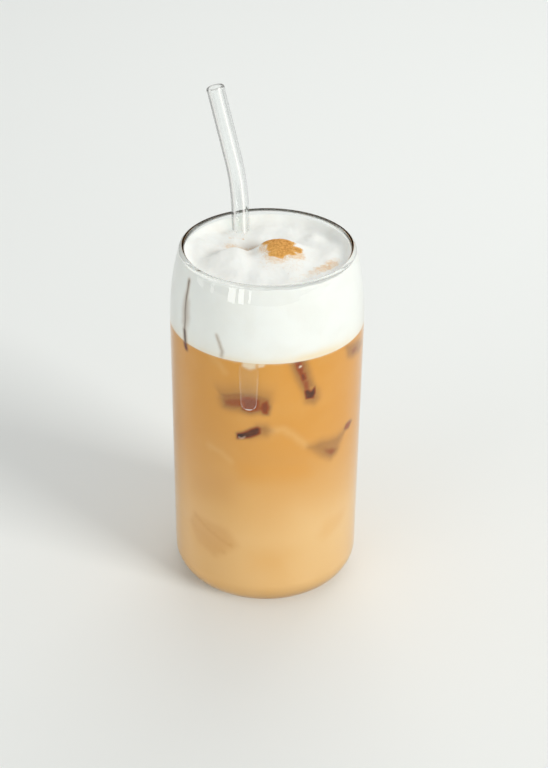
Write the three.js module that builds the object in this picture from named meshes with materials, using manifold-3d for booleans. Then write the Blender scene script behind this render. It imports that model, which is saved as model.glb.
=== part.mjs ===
// Iced milk coffee in a tall, thin-walled tumbler whose shoulder curves in to a narrower mouth.
// Milk coffee fills the body, a thick layer of uneven milk foam lies on it and clings to the glass up to the rim,
// and a bent glass straw stands on the floor of the tumbler and leans on the back of its rim.
// Millimetres, +Z up. The origin is the centre of the tumbler's base, and the front faces -Y.

import * as THREE from "three";
import { mergeVertices } from "three/addons/utils/BufferGeometryUtils.js";
import Module from "manifold-3d";

const wasm = await Module();
wasm.setup();

// Driving dimensions of the tumbler
const BODY_RADIUS = 38;
const TUMBLER_HEIGHT = 147;
const RIM_RADIUS = 33.6;
const WALL = 2.2;
const FLOOR = 3.4;
const HEEL_RADIUS = 10;
const SHOULDER_START = 110;
const SHOULDER_POWER = 2.8;

// Levels of the drink
const COFFEE_TOP = 116;
const FOAM_LEVEL = 141.6;
const CONTACT_GAP = 0.3; // left between pieces that touch

// The foam's lumps: where each one's crest is, how far it rises, its half-widths across and towards the front and
// back, and how far its crest is turned
const FOAM_LUMPS = [
  { x: 5.5, y: 4.5, rise: 4.6, across: 9.5, front: 15, back: 4.2, turn: -0.12 }, // the dusted peak
  { x: -13.5, y: -0.5, rise: 3.2, across: 8.5, front: 13, back: 3.6, turn: 0.28 }, // the lobe to its left
  { x: -28, y: 9, rise: 2.2, across: 9, front: 9, back: 10, turn: 0 }, // the swell along the left wall
  { x: 25, y: 3, rise: 1.1, across: 8, front: 8, back: 7, turn: 0 }, // the swell along the right wall
  { x: 17.7, y: 17.5, rise: 0.8, across: 2.6, front: 2.6, back: 2.2, turn: 0.3 }, // a small tip at the back
  { x: -6.5, y: 8.5, rise: -1.1, across: 5, front: 3.4, back: 5, turn: 0.2 }, // the hollow behind the crests
  { x: -19, y: 23.5, rise: -0.9, across: 2.8, front: 2.4, back: 2.4, turn: 0 }, // the dimple beside the straw
];
const RIPPLE_RISE = 0.28;
const RIPPLE_LENGTH = 13;
const WALL_CLIMB = 3.6; // how far the foam clings up the glass, to just under the lip
const WALL_CLIMB_WIDTH = 2.6;
const WALL_RIPPLE = 0.6; // how much of the ripple is left where the foam clings

// The straw: its foot on the floor, where it leans on the rim, its bend and its mouthpiece
const STRAW_RADIUS = 3.5;
const STRAW_BORE = 2.5;
const STRAW_LEAN = 0.27; // towards the back, for each millimetre up
const STRAW_SWAY = -0.033; // to the left, for each millimetre up
const STRAW_REST = new THREE.Vector3(-10.9, 25.5, 146);
const STRAW_CORNER_HEIGHT = 159.5;
const STRAW_TOP = new THREE.Vector3(-20.6, 31.6, 198.3);
const STRAW_BEND_REACH = 10.5; // from the corner to where the bend starts, along the straw

// Fineness of the faceted solids
const AROUND = 64;
const STRAW_SIDES = 20;
const STRAW_STEPS = 28;
const ARC_STEPS = 6;
const SHOULDER_STEPS = 9;
const FOAM_RINGS = 20;
const RING_CROWDING = 0.35; // 0 spaces the rings evenly, more crowds them towards the glass
const MERGE_DISTANCE = 1e-4;

// Radius of the tumbler's outside at a height, above the heel
function outerRadius(z) {
  const rise = Math.max(0, z - SHOULDER_START) / (TUMBLER_HEIGHT - SHOULDER_START);
  return BODY_RADIUS - (BODY_RADIUS - RIM_RADIUS) * rise ** SHOULDER_POWER;
}

// Points of a quarter arc or half arc round a centre, between two angles in the radius-height plane
function arc(centreRadius, centreHeight, radius, from, to, steps = ARC_STEPS) {
  return Array.from({ length: steps + 1 }, (_, i) => {
    const angle = from + ((to - from) * i) / steps;
    return new THREE.Vector2(
      centreRadius + radius * Math.cos(angle),
      centreHeight + radius * Math.sin(angle),
    );
  });
}

// Points up the tumbler's wall at a distance inside its outer face
function wallLine(inset, lowest, highest, steps = SHOULDER_STEPS) {
  return Array.from({ length: steps }, (_, i) => {
    const z = lowest + ((highest - lowest) * i) / steps;
    return new THREE.Vector2(outerRadius(z) - inset, z);
  });
}

// A closed outline in the radius-height plane, turned about the vertical axis
function turned(points) {
  return new THREE.LatheGeometry(points, AROUND).rotateX(Math.PI / 2);
}

function solidOf(geometry) {
  const bare = geometry.clone();
  bare.deleteAttribute("normal");
  bare.deleteAttribute("uv");
  const merged = mergeVertices(bare, MERGE_DISTANCE);
  return new wasm.Manifold(
    new wasm.Mesh({
      numProp: 3,
      vertProperties: merged.attributes.position.array,
      triVerts: new Uint32Array(merged.index.array),
    }),
  );
}

function geometryOf(solid) {
  const { vertProperties, triVerts } = solid.getMesh();
  const geometry = new THREE.BufferGeometry();
  geometry.setAttribute("position", new THREE.BufferAttribute(vertProperties, 3));
  geometry.setIndex(new THREE.BufferAttribute(triVerts, 1));
  geometry.computeVertexNormals();
  return geometry;
}

// The tumbler: a flat base, a rounded heel, a straight body, the shoulder and a rounded lip, then the same line
// back down inside to the floor
const LIP_RADIUS = WALL / 2;
const LIP_BASE = TUMBLER_HEIGHT - LIP_RADIUS;
const INNER_HEEL = HEEL_RADIUS - WALL;

function tumblerGeometry() {
  const outside = [
    new THREE.Vector2(0, 0),
    ...arc(BODY_RADIUS - HEEL_RADIUS, HEEL_RADIUS, HEEL_RADIUS, -Math.PI / 2, 0),
    ...wallLine(0, SHOULDER_START, LIP_BASE),
  ];
  const lip = arc(outerRadius(LIP_BASE) - LIP_RADIUS, LIP_BASE, LIP_RADIUS, 0, Math.PI);
  const inside = [
    ...wallLine(WALL, SHOULDER_START, LIP_BASE).reverse(),
    ...innerFloorCurve(0).reverse(),
    new THREE.Vector2(0, FLOOR),
  ];
  return turned([...outside, ...lip, ...inside]);
}

// The rounded corner between the tumbler's floor and its wall, from the floor up, or a line a gap inside it
function innerFloorCurve(gap) {
  const centreRadius = BODY_RADIUS - WALL - INNER_HEEL;
  return arc(centreRadius, FLOOR + INNER_HEEL, INNER_HEEL - gap, -Math.PI / 2, 0);
}

// The straw's centre line: straight from the foot, one soft bend above the rim, and the straight mouthpiece
function strawPoint(z) {
  const up = z - STRAW_REST.z;
  return new THREE.Vector3(STRAW_REST.x + STRAW_SWAY * up, STRAW_REST.y + STRAW_LEAN * up, z);
}

const STRAW_CORNER = strawPoint(STRAW_CORNER_HEIGHT);
const STRAW_RISE = STRAW_CORNER.clone().sub(strawPoint(0)).normalize();
const MOUTHPIECE_RISE = STRAW_TOP.clone().sub(STRAW_CORNER).normalize();
// The tilted foot's lowest edge stands just over the floor
const STRAW_FOOT = strawPoint(
  FLOOR + CONTACT_GAP + STRAW_RADIUS * Math.hypot(STRAW_RISE.x, STRAW_RISE.y),
);

function strawPath() {
  const bendStart = STRAW_CORNER.clone().addScaledVector(STRAW_RISE, -STRAW_BEND_REACH);
  const bendEnd = STRAW_CORNER.clone().addScaledVector(MOUTHPIECE_RISE, STRAW_BEND_REACH);
  const path = new THREE.CurvePath();
  path.add(new THREE.LineCurve3(STRAW_FOOT, bendStart));
  path.add(new THREE.QuadraticBezierCurve3(bendStart, STRAW_CORNER, bendEnd));
  path.add(new THREE.LineCurve3(bendEnd, STRAW_TOP));
  return path;
}

// A round tube, or a rod where the bore is 0, along a path
function tubeGeometry(path, radius, bore, steps) {
  const section = new THREE.Shape().absarc(0, 0, radius, 0, 2 * Math.PI);
  if (bore > 0) section.holes.push(new THREE.Path().absarc(0, 0, bore, 0, 2 * Math.PI, true));
  return new THREE.ExtrudeGeometry(section, {
    steps,
    curveSegments: STRAW_SIDES / 2, // an arc gets two sides for each
    extrudePath: path,
  });
}

// The straight stretch of the straw that runs through the drink, with the gap round it
function strawCutter(bore) {
  const start = STRAW_FOOT.clone().addScaledVector(STRAW_RISE, -CONTACT_GAP);
  const line = new THREE.LineCurve3(start, STRAW_CORNER);
  return solidOf(tubeGeometry(line, STRAW_RADIUS + CONTACT_GAP, bore, 1));
}

// The milk coffee: it fills the body, stands inside the straw as high as outside it, and is cut round the straw
function coffeeGeometry() {
  const filling = turned([
    new THREE.Vector2(0, FLOOR + CONTACT_GAP),
    ...innerFloorCurve(CONTACT_GAP),
    ...wallLine(WALL + CONTACT_GAP, SHOULDER_START, COFFEE_TOP, 2),
    new THREE.Vector2(outerRadius(COFFEE_TOP) - WALL - CONTACT_GAP, COFFEE_TOP),
    new THREE.Vector2(0, COFFEE_TOP),
  ]);
  return geometryOf(solidOf(filling).subtract(strawCutter(STRAW_BORE - CONTACT_GAP)));
}

// How far a lump lifts the foam at a point
function lumpRise(lump, x, y) {
  const [c, s] = [Math.cos(lump.turn), Math.sin(lump.turn)];
  const along = (x - lump.x) * c + (y - lump.y) * s;
  const behind = (y - lump.y) * c - (x - lump.x) * s;
  const reach = behind > 0 ? lump.back : lump.front;
  return lump.rise * Math.exp(-((along / lump.across) ** 2) - (behind / reach) ** 2);
}

// Height of the foam's top at a point of the mouth
function foamHeight(x, y) {
  const ripple =
    Math.sin((2 * Math.PI * (x + 0.4 * y)) / RIPPLE_LENGTH) *
    Math.cos((2 * Math.PI * (y - 0.3 * x)) / (1.3 * RIPPLE_LENGTH));
  const toWall = outerRadius(FOAM_LEVEL) - WALL - Math.hypot(x, y);
  const clinging = Math.exp(-((Math.max(0, toWall) / WALL_CLIMB_WIDTH) ** 2));
  const lumps = FOAM_LUMPS.reduce((sum, lump) => sum + lumpRise(lump, x, y), 0);
  const open = lumps + RIPPLE_RISE * ripple;
  const atWall = WALL_CLIMB + WALL_RIPPLE * RIPPLE_RISE * ripple;
  return FOAM_LEVEL + open + (atWall - open) * clinging;
}

// The radius at which the foam's top meets the glass, looking out at an angle
function foamEdgeRadius(angle) {
  let radius = RIM_RADIUS - WALL;
  for (let i = 0; i < 4; i += 1) {
    const z = foamHeight(radius * Math.cos(angle), radius * Math.sin(angle));
    radius = outerRadius(z) - WALL - CONTACT_GAP;
  }
  return radius;
}

// The foam: rings of points out over its uneven top, down the glass, and in under it
function foamGeometry() {
  const bottom = COFFEE_TOP + CONTACT_GAP;
  const sideSteps = 5;
  const rings = [];
  const angles = Array.from({ length: AROUND }, (_, i) => (2 * Math.PI * i) / AROUND);
  for (let ring = 1; ring <= FOAM_RINGS; ring += 1) {
    rings.push(
      angles.map((angle) => {
        const out = ring / FOAM_RINGS;
        const radius = foamEdgeRadius(angle) * out * (1 + RING_CROWDING * (1 - out));
        const [x, y] = [radius * Math.cos(angle), radius * Math.sin(angle)];
        return [x, y, foamHeight(x, y)];
      }),
    );
  }
  const edge = rings.at(-1);
  for (let step = 1; step <= sideSteps; step += 1) {
    rings.push(
      angles.map((angle, i) => {
        const z = edge[i][2] + ((bottom - edge[i][2]) * step) / sideSteps;
        const radius = outerRadius(z) - WALL - CONTACT_GAP;
        return [radius * Math.cos(angle), radius * Math.sin(angle), z];
      }),
    );
  }
  const points = [[0, 0, foamHeight(0, 0)], ...rings.flat(), [0, 0, bottom]];
  const faces = [];
  const at = (ring, i) => 1 + ring * AROUND + (i % AROUND);
  for (let i = 0; i < AROUND; i += 1) {
    faces.push(0, at(0, i), at(0, i + 1));
    faces.push(points.length - 1, at(rings.length - 1, i + 1), at(rings.length - 1, i));
    for (let ring = 0; ring < rings.length - 1; ring += 1) {
      faces.push(at(ring, i), at(ring + 1, i), at(ring + 1, i + 1));
      faces.push(at(ring, i), at(ring + 1, i + 1), at(ring, i + 1));
    }
  }
  const layer = new THREE.BufferGeometry();
  layer.setAttribute("position", new THREE.Float32BufferAttribute(points.flat(), 3));
  layer.setIndex(faces);
  return geometryOf(solidOf(layer).subtract(strawCutter(0)));
}

// Finishes
const clearGlass = new THREE.MeshStandardMaterial({
  color: 0xf4f8f6,
  roughness: 0.03,
  metalness: 0,
  transparent: true,
  opacity: 0.3,
});
const milkCoffee = new THREE.MeshStandardMaterial({ color: 0xdca15b, roughness: 0.25, metalness: 0 });
const milkFoam = new THREE.MeshStandardMaterial({ color: 0xf5f4ee, roughness: 0.8, metalness: 0 });

function piece(name, geometry, material) {
  const mesh = new THREE.Mesh(geometry, material);
  mesh.name = name;
  return mesh;
}

const icedCoffee = new THREE.Group();
icedCoffee.add(
  piece("tumbler", tumblerGeometry(), clearGlass),
  piece("coffee", coffeeGeometry(), milkCoffee),
  piece("milk_foam", foamGeometry(), milkFoam),
  piece("straw", tubeGeometry(strawPath(), STRAW_RADIUS, STRAW_BORE, STRAW_STEPS), clearGlass),
);

export default icedCoffee;
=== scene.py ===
"""Iced milk coffee in a tall tumbler, with foam, powder, ice and a bent glass straw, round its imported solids.

Sizes are in millimetres unless a name says otherwise, and every mesh is scaled to metres as it is made.
"""

from __future__ import annotations

import logging
import math
from dataclasses import dataclass, field
from enum import Enum
from typing import Any, Iterable, Sequence

import bpy
import numpy as np
from mathutils import Matrix, Vector, noise

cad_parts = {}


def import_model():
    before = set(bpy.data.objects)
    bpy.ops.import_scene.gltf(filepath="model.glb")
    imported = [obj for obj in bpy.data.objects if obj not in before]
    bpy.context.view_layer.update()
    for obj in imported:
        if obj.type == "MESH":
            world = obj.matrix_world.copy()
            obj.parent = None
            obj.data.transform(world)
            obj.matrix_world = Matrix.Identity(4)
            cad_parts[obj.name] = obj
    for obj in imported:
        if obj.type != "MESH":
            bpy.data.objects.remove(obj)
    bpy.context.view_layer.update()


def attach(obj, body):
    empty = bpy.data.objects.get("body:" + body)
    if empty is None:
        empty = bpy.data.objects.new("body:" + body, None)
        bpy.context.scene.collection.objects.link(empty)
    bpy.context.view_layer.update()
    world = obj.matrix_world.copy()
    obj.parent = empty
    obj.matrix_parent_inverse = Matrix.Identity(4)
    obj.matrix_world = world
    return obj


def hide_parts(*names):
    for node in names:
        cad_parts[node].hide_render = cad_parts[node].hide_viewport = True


Rgb = tuple[float, float, float]
Place = tuple[float, float, float]
Span = tuple[float, float]
Material = bpy.types.Material
Piece = bpy.types.Object
Node = bpy.types.Node
Socket = bpy.types.NodeSocket
Fields = Sequence[tuple[str, str]]

LOG = logging.getLogger("iced_coffee")
MM = 0.001
BODY = "root"
SIZE_OF_NOTHING = 1e-9  # keeps a division by a length from being one by zero
SEED_STEPS = (17.3, -9.1, 5.7)  # how far one seed moves a noise along each axis
DRINK_RADIUS = 35.9  # of the drink at the wall, on which the way round it is measured


# Colours and small geometry helpers


def from_srgb(red: int, green: int, blue: int) -> Rgb:
    """Turns an 8-bit screen colour into the linear colour that shaders use.

    Args:
        red: red from 0 to 255.
        green: green from 0 to 255.
        blue: blue from 0 to 255.

    Returns:
        The three linear channels.
    """
    channels = np.array((red, green, blue)) / 255
    linear = np.where(channels <= 0.04045, channels / 12.92, ((channels + 0.055) / 1.055) ** 2.4)
    return float(linear[0]), float(linear[1]), float(linear[2])


def arc(centre: tuple[float, float], radius: float, start: float, end: float, steps: int) -> np.ndarray:
    """Points of an arc in the radius-height plane.

    Args:
        centre: the arc's centre, as radius and height.
        radius: the arc's own radius.
        start: first angle in degrees.
        end: last angle in degrees.
        steps: how many chords the arc is cut into.

    Returns:
        An array of radius and height pairs.
    """
    angles = np.radians(np.linspace(start, end, steps + 1))
    return np.column_stack((centre[0] + radius * np.cos(angles), centre[1] + radius * np.sin(angles)))


def smooth_step(low: float, high: float, value: Any) -> np.ndarray:
    """A soft rise.

    Args:
        low: the value up to which it is 0.
        high: the value from which it is 1.
        value: one number or an array of them.

    Returns:
        From 0 to 1 for each value.
    """
    part = np.clip((value - low) / (high - low), 0, 1)
    return part * part * (3 - 2 * part)


def bell(value: np.ndarray, centre: float, width: float, power: int = 2) -> np.ndarray:
    """A soft hump of height 1, which a higher power makes flatter on top and steeper at its sides."""
    return np.exp(-(((value - centre) / width) ** power))


def noise_field(points: np.ndarray, wavelength: float, seed: float) -> np.ndarray:
    """Smooth noise at points, about -1 to 1.

    Args:
        points: one row of x, y and z for each point.
        wavelength: the size of the noise's lumps.
        seed: moves the pattern, so that two calls differ.

    Returns:
        One value for each point.
    """
    shift = Vector([seed * step for step in SEED_STEPS])
    return np.array([noise.noise(Vector(p) / wavelength + shift) for p in points])


def added_noise(points: np.ndarray, layers: Sequence[tuple[float, float, float]]) -> np.ndarray:
    """Several smooth noises added up.

    Args:
        points: one row of x, y and z for each point.
        layers: each noise's strength, wavelength and seed.

    Returns:
        One value for each point.
    """
    return sum(strength * noise_field(points, wavelength, seed) for strength, wavelength, seed in layers)


def on_floor(x: np.ndarray, y: np.ndarray) -> np.ndarray:
    """Places in plan as points at height 0."""
    return np.column_stack((x, y, np.zeros_like(x)))


def linked(name: str, data: bpy.types.ID) -> Piece:
    """Makes an object of some data and puts it into the scene.

    Args:
        name: the object's name.
        data: its mesh, curve, lamp or camera.

    Returns:
        The object.
    """
    piece = bpy.data.objects.new(name, data)
    bpy.context.scene.collection.objects.link(piece)
    return piece


def keep_values(mesh: bpy.types.Mesh, values: dict[str, np.ndarray]) -> None:
    """Stores values on a mesh's points, for its finish to read.

    Args:
        mesh: the mesh.
        values: one number for each point, under each attribute's name.
    """
    for name, numbers in values.items():
        layer = mesh.attributes.new(name, "FLOAT", "POINT")
        layer.data.foreach_set("value", np.asarray(numbers, np.float32))


@dataclass
class Shape:
    """Points and faces on their way to a mesh."""

    points: np.ndarray
    faces: list[tuple[int, ...]]
    values: dict[str, np.ndarray] = field(default_factory=dict)

    def to_object(self, name: str, material: Material, smooth: bool = True) -> Piece:
        """Makes the object, with its place in its mesh.

        Args:
            name: the piece's name.
            material: its finish.
            smooth: True where its faces are shaded as one curved surface.

        Returns:
            The linked object.
        """
        mesh = bpy.data.meshes.new(name)
        mesh.from_pydata((self.points * MM).tolist(), [], self.faces)
        mesh.polygons.foreach_set("use_smooth", [smooth] * len(mesh.polygons))
        keep_values(mesh, self.values)
        mesh.materials.append(material)
        mesh.update()
        return linked(name, mesh)


def turned(profile: np.ndarray, around: int) -> Shape:
    """Turns an outline about the vertical axis into a closed shape.

    Args:
        profile: radius and height pairs, from the axis below, up the outside, and back to the axis or the start.
        around: how many sides the shape has.

    Returns:
        The shape, with one point where the outline meets the axis.
    """
    on_axis = profile[:, 0] < SIZE_OF_NOTHING
    angles = np.linspace(0, 2 * np.pi, around, endpoint=False)
    points: list[tuple[float, float, float]] = []
    rings: list[list[int]] = []
    for (radius, height), pole in zip(profile, on_axis):
        start = len(points)
        if pole:
            points.append((0.0, 0.0, float(height)))
            rings.append([start] * around)
            continue
        points.extend((float(radius * np.cos(a)), float(radius * np.sin(a)), float(height)) for a in angles)
        rings.append(list(range(start, start + around)))
    if not on_axis[0]:
        rings.append(rings[0])
    faces = []
    for low, high in zip(rings, rings[1:]):
        for i in range(around):
            j = (i + 1) % around
            corners = [low[i], low[j], high[j], high[i]]
            faces.append(tuple(dict.fromkeys(corners)))
    return Shape(np.array(points), [face for face in faces if len(face) > 2])


# Node helpers


class Graph:
    """Adds nodes to one tree and links them."""

    def __init__(self, tree: bpy.types.NodeTree) -> None:
        """Takes the tree that the nodes go into."""
        self.tree = tree

    def feed(self, socket: Socket, value: Any) -> None:
        """Gives an input its value.

        Args:
            socket: the input.
            value: an output socket to link it to, or a value, which for a colour may leave out the alpha.
        """
        if isinstance(value, Socket):
            self.tree.links.new(value, socket)
        elif socket.type == "RGBA" and len(value) == 3:
            socket.default_value = (*value, 1.0)
        else:
            socket.default_value = value

    def add(self, kind: str, inputs: dict[Any, Any] | None = None, **settings: Any) -> Node:
        """Adds a node.

        Args:
            kind: the node's type name.
            inputs: for each input, a value, or an output socket to link it to.
            settings: the node's own properties.

        Returns:
            The new node.
        """
        node = self.tree.nodes.new(kind)
        for name, value in settings.items():
            setattr(node, name, value)
        for name, value in (inputs or {}).items():
            self.feed(node.inputs[name], value)
        return node

    def math(self, operation: str, first: Any, second: Any = 0.0, clamp: bool = False) -> Socket:
        """Adds a Math node and returns its result."""
        return self.add("ShaderNodeMath", {0: first, 1: second}, operation=operation, use_clamp=clamp).outputs[0]

    def times(self, first: Any, second: Any, clamp: bool = False) -> Socket:
        """Multiplies two numbers and returns the result."""
        return self.math("MULTIPLY", first, second, clamp)

    def vector(self, operation: str, first: Any, second: Any) -> Socket:
        """Adds a Vector Math node.

        Args:
            operation: what the node does.
            first: its first vector.
            second: its second vector, or the number that it scales by.

        Returns:
            The resulting vector.
        """
        inputs = {0: first, "Scale" if operation == "SCALE" else 1: second}
        return self.add("ShaderNodeVectorMath", inputs, operation=operation).outputs[0]

    def noise(self, place: Socket, scale: float, detail: float) -> Node:
        """Adds smooth noise over a place, with its scale for each metre."""
        return self.add("ShaderNodeTexNoise", {"Vector": place, "Scale": scale, "Detail": detail})

    def spread(self, value: Socket, low: Any, high: Any, curve: str = "SMOOTHSTEP") -> Socket:
        """Spreads a narrow range of a value.

        Args:
            value: the value.
            low: what becomes 0.
            high: what becomes 1.
            curve: the kind of rise between them.

        Returns:
            The value from 0 to 1.
        """
        inputs = {"Value": value, "From Min": low, "From Max": high}
        return self.add("ShaderNodeMapRange", inputs, interpolation_type=curve).outputs[0]

    def mix(self, factor: Any, first: Any, second: Any) -> Socket:
        """Mixes two colours and returns the result."""
        return self.add("ShaderNodeMix", {0: factor, 6: first, 7: second}, data_type="RGBA").outputs[2]

    def blend(self, factor: Socket, first: Socket, second: Socket) -> Socket:
        """Mixes two shaders and returns the result."""
        return self.add("ShaderNodeMixShader", {0: factor, 1: first, 2: second}).outputs[0]

    def ramp(self, factor: Socket, stops: Sequence[tuple[float, Rgb]]) -> Socket:
        """Adds a colour ramp.

        Args:
            factor: where on the ramp to read.
            stops: places from 0 to 1, each with its colour.

        Returns:
            The ramp's colour.
        """
        node = self.add("ShaderNodeValToRGB", {0: factor})
        elements = node.color_ramp.elements
        while len(elements) < len(stops):
            elements.new(0.5)
        for element, (place, colour) in zip(elements, stops):
            element.position = place
            element.color = (*colour, 1.0)
        return node.outputs[0]

    def attribute(self, name: str) -> Socket:
        """Reads one of the piece's own values."""
        return self.add("ShaderNodeAttribute", attribute_name=name).outputs["Fac"]

    def place(self) -> Socket:
        """The point on the piece, in metres."""
        return self.add("ShaderNodeTexCoord").outputs["Object"]

    def principled(self, inputs: dict[str, Any]) -> Socket:
        """Adds a Principled shader with its inputs, and returns it."""
        return self.add("ShaderNodeBsdfPrincipled", inputs).outputs[0]

    def show(self, shader: Socket) -> None:
        """Makes a shader the material's surface."""
        self.add("ShaderNodeOutputMaterial", {0: shader})

    def put_out(self, geometry: Socket, finish: Socket, leave: Node) -> None:
        """Ends a geometry tree: makes its instances real, gives them their finish and puts them out.

        Args:
            geometry: what the tree made.
            finish: the material that it gets.
            leave: the tree's output node.
        """
        real = self.add("GeometryNodeRealizeInstances", {"Geometry": geometry}).outputs[0]
        dressed = self.add("GeometryNodeSetMaterial", {"Geometry": real, "Material": finish}).outputs[0]
        self.feed(leave.inputs[0], dressed)


def new_material(name: str) -> tuple[Material, Graph]:
    """Makes an empty node material.

    Args:
        name: the finish's name.

    Returns:
        The material and its graph.
    """
    material = bpy.data.materials.new(name)
    material.use_nodes = True
    material.node_tree.nodes.clear()
    return material, Graph(material.node_tree)


def new_group(name: str, kind: str, inputs: Fields, output: tuple[str, str]) -> tuple[Graph, Node, Node]:
    """Makes an empty node group.

    Args:
        name: the group's name.
        kind: its type, such as ShaderNodeTree.
        inputs: each input's name and its kind of socket, such as Float.
        output: the same for its one output.

    Returns:
        The group's graph, its input node and its output node.
    """
    tree = bpy.data.node_groups.new(name, kind)
    for label, socket in inputs:
        tree.interface.new_socket(label, in_out="INPUT", socket_type=f"NodeSocket{socket}")
    tree.interface.new_socket(output[0], in_out="OUTPUT", socket_type=f"NodeSocket{output[1]}")
    graph = Graph(tree)
    return graph, graph.add("NodeGroupInput"), graph.add("NodeGroupOutput")


def clouding_group() -> bpy.types.NodeTree:
    """The drifting clouds of milk that the coffee and the foam share.

    Returns:
        A shader group that puts out a mask of soft, stretched clouds.
    """
    inputs = [("Vector", "Vector"), *((name, "Float") for name in ("Size", "Drift", "Low", "High"))]
    graph, entry, leave = new_group("milk_clouds", "ShaderNodeTree", inputs, ("Mask", "Float"))
    scaled = graph.vector("SCALE", entry.outputs["Vector"], graph.math("DIVIDE", 1.0, entry.outputs["Size"]))
    bend = graph.noise(scaled, 0.7, 1.0)
    centred = graph.vector("SUBTRACT", bend.outputs["Color"], (0.5, 0.5, 0.5))
    moved = graph.vector("ADD", scaled, graph.vector("SCALE", centred, entry.outputs["Drift"]))
    cloud = graph.noise(moved, 1.0, 3.0).outputs[0]
    graph.feed(leave.inputs["Mask"], graph.spread(cloud, entry.outputs["Low"], entry.outputs["High"]))
    return graph.tree


# Finishes


class Clear(Enum):
    """What a clear piece is made of, by how strongly it bends light."""

    GLASS = 1.5
    WATER = 1.33
    ICE = 1.31


@dataclass(frozen=True)
class ClearFinish:
    """A clear, polished piece that lets the lamps' light reach what it holds.

    It shows painted shade where it is seen edge on and where the piece's dark value says so, and painted
    highlights, pale and matt, where its frost value does.
    """

    name: str
    kind: Clear
    tint: Rgb = (0.985, 0.995, 0.99)
    painted_edge_shade: Rgb = (0.5, 0.49, 0.47)
    edge_power: float = 5.0
    lamp_tint: Rgb = (0.94, 0.95, 0.945)
    # The dark colour paints shade lines, and the frost colour paints pale highlights.
    dark: Rgb = (0.03, 0.024, 0.02)
    frost: Rgb = from_srgb(252, 251, 247)
    roughness: float = 0.0

    def build(self) -> Material:
        """Makes the material.

        Returns:
            The material.
        """
        material, graph = new_material(self.name)
        # Painted shade: darker the more edge on the glass is seen, and where the dark value says so.
        facing = graph.add("ShaderNodeLayerWeight", {"Blend": 0.5}).outputs["Facing"]
        edge = graph.math("POWER", facing, self.edge_power, clamp=True)
        tint = graph.mix(edge, self.tint, self.painted_edge_shade)
        clear = graph.principled(
            {
                "Base Color": graph.mix(graph.attribute("dark"), tint, self.dark),
                "Roughness": self.roughness,
                "IOR": self.kind.value,
                "Transmission Weight": 1.0,
            }
        )
        matt = graph.add("ShaderNodeBsdfDiffuse", {"Color": self.frost}).outputs[0]
        passing = graph.add("ShaderNodeBsdfTransparent", {0: self.lamp_tint}).outputs[0]
        path = graph.add("ShaderNodeLightPath").outputs
        lamps = graph.math("MAXIMUM", path["Is Shadow Ray"], path["Is Diffuse Ray"])
        # Painted highlights: a pale matt shader mixed in by the frost value.
        graph.show(graph.blend(lamps, graph.blend(graph.attribute("frost"), clear, matt), passing))
        return material


@dataclass(frozen=True)
class CoffeeFinish:
    """Milk coffee behind glass: warmer above, milkier below, with drifting clouds and the ice's dark touches.

    The share is how far the clouds cover the coffee, the grain roughens a touch's strength, and the reach is how fast
    a touch hides the coffee round it.
    """

    clouds: bpy.types.NodeTree
    height: float
    strong: Rgb = from_srgb(216, 150, 60)
    middle: Rgb = from_srgb(216, 155, 76)
    milky: Rgb = from_srgb(231, 184, 119)
    cloud: Rgb = from_srgb(226, 174, 102)
    pale: Rgb = from_srgb(238, 202, 146)
    amber: Rgb = from_srgb(219, 151, 56)
    brown: Rgb = from_srgb(204, 143, 72)
    smoke: Rgb = from_srgb(178, 126, 64)
    thin: Rgb = from_srgb(154, 106, 58)
    russet: Rgb = from_srgb(154, 70, 20)
    deep: Rgb = from_srgb(102, 50, 20)
    darkest: Rgb = from_srgb(58, 24, 10)
    residue: Rgb = from_srgb(242, 230, 204)
    cloud_share: float = 0.4
    touch_grain: float = 0.2
    touch_reach: float = 1.65

    def build(self) -> Material:
        """Makes the material.

        Returns:
            The material.
        """
        material, graph = new_material("milk_coffee")
        place = graph.place()
        height = graph.add("ShaderNodeSeparateXYZ", {0: place}).outputs["Z"]
        layers = ((0.03, self.milky), (0.3, self.milky), (0.62, self.middle), (0.97, self.strong))
        base = graph.ramp(graph.math("DIVIDE", height, self.height * MM), layers)
        drift = {"Vector": place, "Size": 0.03, "Drift": 1.6, "Low": 0.42, "High": 0.72}
        cloud = graph.add("ShaderNodeGroup", drift, node_tree=self.clouds).outputs[0]
        base = graph.mix(graph.times(cloud, self.cloud_share), base, self.cloud)
        # The brown value also holds painted shade on the drink's left side.
        for name, colour in (("amber", self.amber), ("brown", self.brown), ("pale", self.pale)):
            base = graph.mix(graph.attribute(name), base, colour)
        grain = graph.times(graph.noise(place, 900.0, 2.0).outputs[0], self.touch_grain)
        touch = graph.times(graph.attribute("ice_touch"), graph.math("ADD", grain, 1 - self.touch_grain / 2))
        depths = ((0.0, self.smoke), (0.45, self.thin), (0.7, self.russet), (0.88, self.deep), (1.0, self.darkest))
        base = graph.mix(graph.times(touch, self.touch_reach, clamp=True), base, graph.ramp(touch, depths))
        # The residue value also holds painted highlights of small bubbles.
        base = graph.mix(graph.attribute("residue"), base, self.residue)
        graph.show(graph.principled({"Base Color": base, "Roughness": 0.5, "Specular IOR Level": 0.05}))
        return material


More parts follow.
